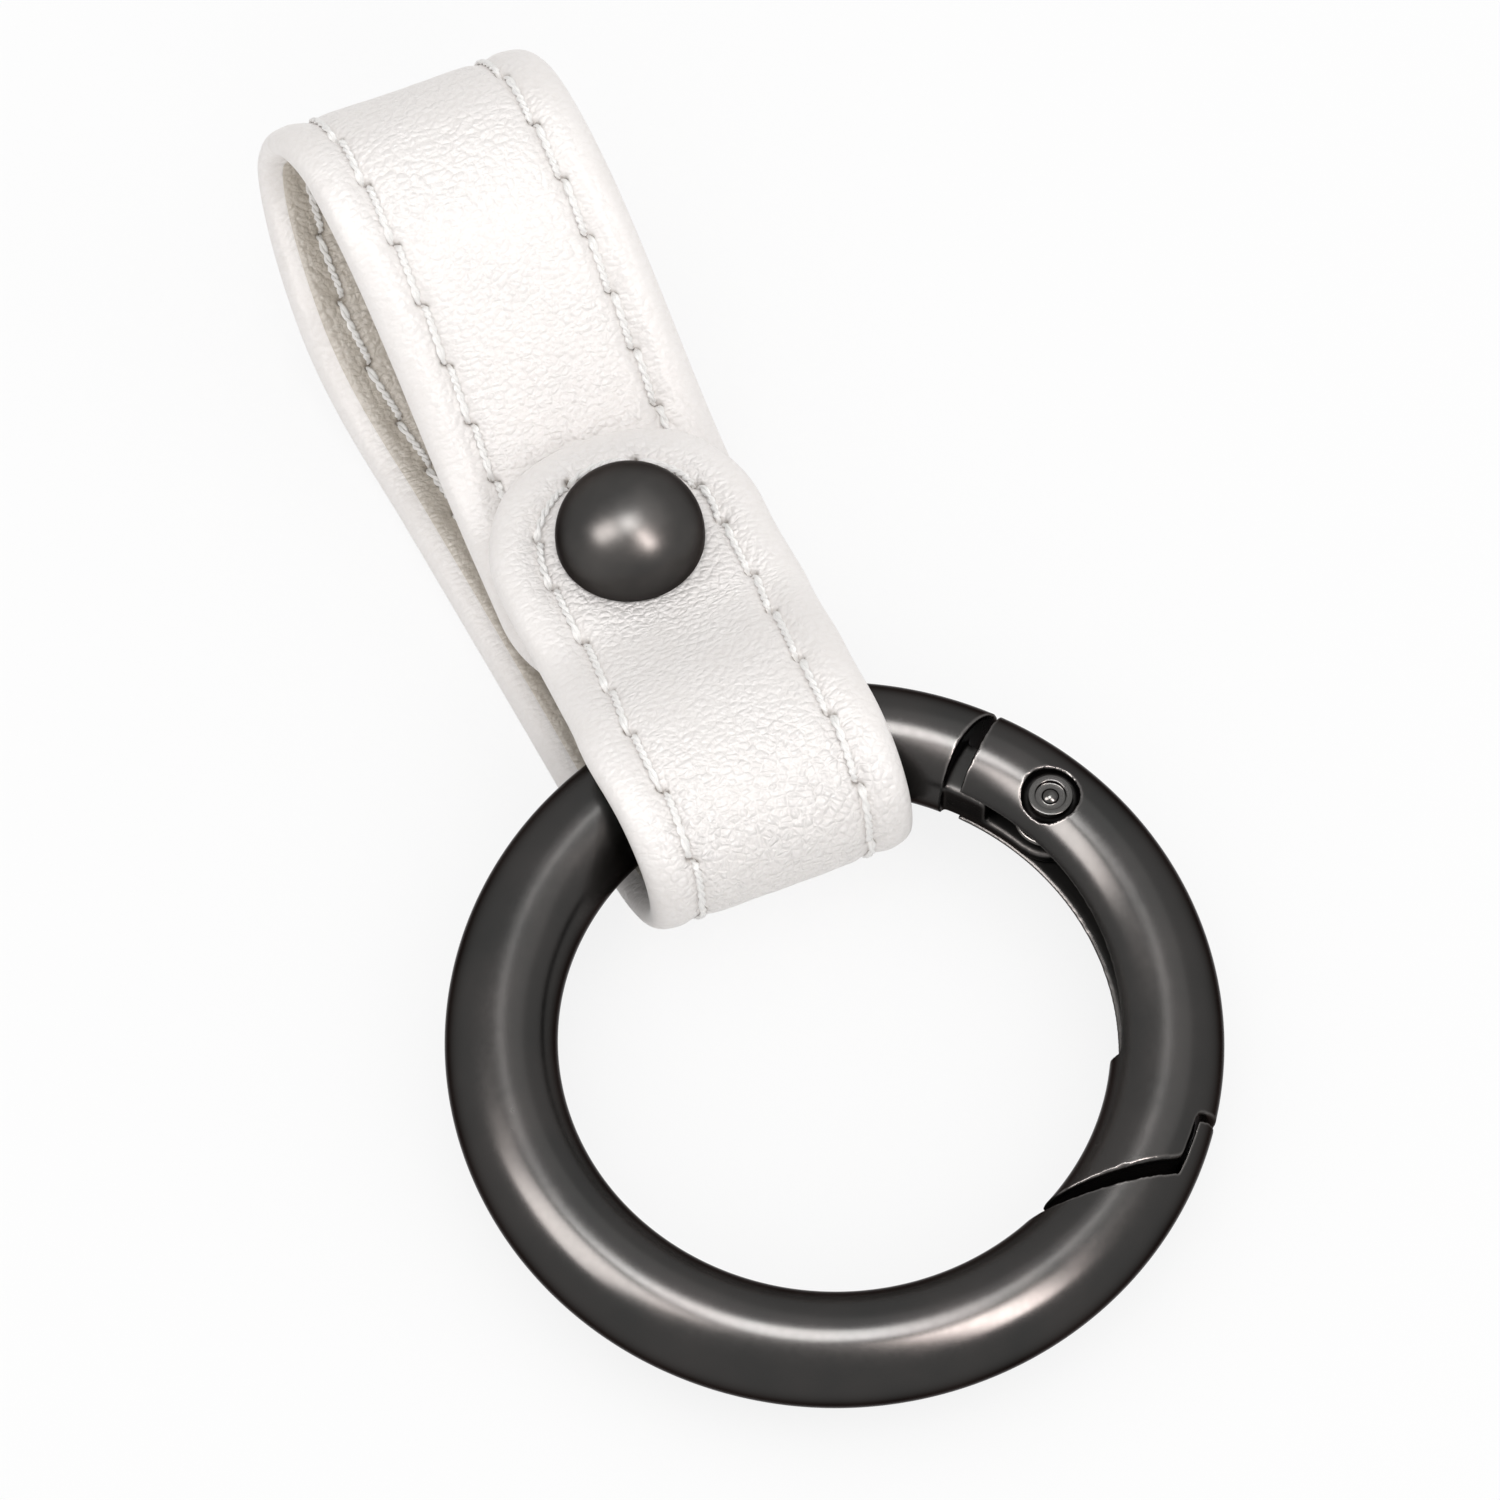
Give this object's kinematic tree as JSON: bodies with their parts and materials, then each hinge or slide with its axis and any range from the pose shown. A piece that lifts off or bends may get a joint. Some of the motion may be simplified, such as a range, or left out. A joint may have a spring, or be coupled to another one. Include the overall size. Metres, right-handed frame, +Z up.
{
  "type": "keychain",
  "caption": "Folded, stitched faux leather strap with a press stud tab, looped round a metal spring gate ring that clips onto keys or a bag.",
  "frame": {"origin": "under the middle of the object's bounding box, on the surface that the strap's back lies on", "axes": "+X across the strap, towards the ring's gate; +Y along the strap, from the ring to the top loop; +Z up out of the surface, through the press stud's cap"},
  "size_m": [0.0446, 0.089, 0.0155],
  "materials": {
    "faux_leather": "warm white polyurethane leather with a fine pebble grain, softly satin",
    "lining": "the same leather on the inside, a little more matt",
    "thread": "off-white twisted nylon thread",
    "gunmetal": "satin gunmetal plating on cast zinc and pressed brass",
    "spring_steel": "drawn spring wire"
  },
  "bodies": {
    "strap": {"strap_skin": "faux_leather", "strap_lining": "lining", "strap_thread": "thread", "strap_lining_thread": "thread", "snap_stud": "gunmetal", "snap_post": "gunmetal"},
    "tab": {"tab_skin": "faux_leather", "tab_lining": "lining", "tab_thread": "thread", "tab_lining_thread": "thread", "snap_cap": "gunmetal", "snap_socket": "gunmetal", "snap_ring_spring": "spring_steel"},
    "ring": {"ring_body": "gunmetal", "gate_pin": "gunmetal"},
    "gate": {"ring_gate": "gunmetal", "gate_spring": "spring_steel"}
  },
  "joints": [
    {"name": "tab_open", "type": "hinge", "parent": "strap", "child": "tab", "pos_m": [0.00096, -0.00094, 0.01057], "axis": [1, 0, 0], "range_deg": [0, 115]},
    {"name": "ring_swing", "type": "hinge", "parent": "strap", "child": "ring", "pos_m": [0.0012, -0.0031, 0.00525], "axis": [-0.998, 0.0627, 0.0033], "range_deg": [-4, 30]},
    {"name": "gate_open", "type": "hinge", "parent": "ring", "child": "gate", "pos_m": [0.01685, -0.01393, 0.00468], "axis": [0, 0.0524, -0.9986], "range_deg": [0, 28], "stiffness_Nm_per_rad": 0.01, "springref_deg": -34.38}
  ]
}
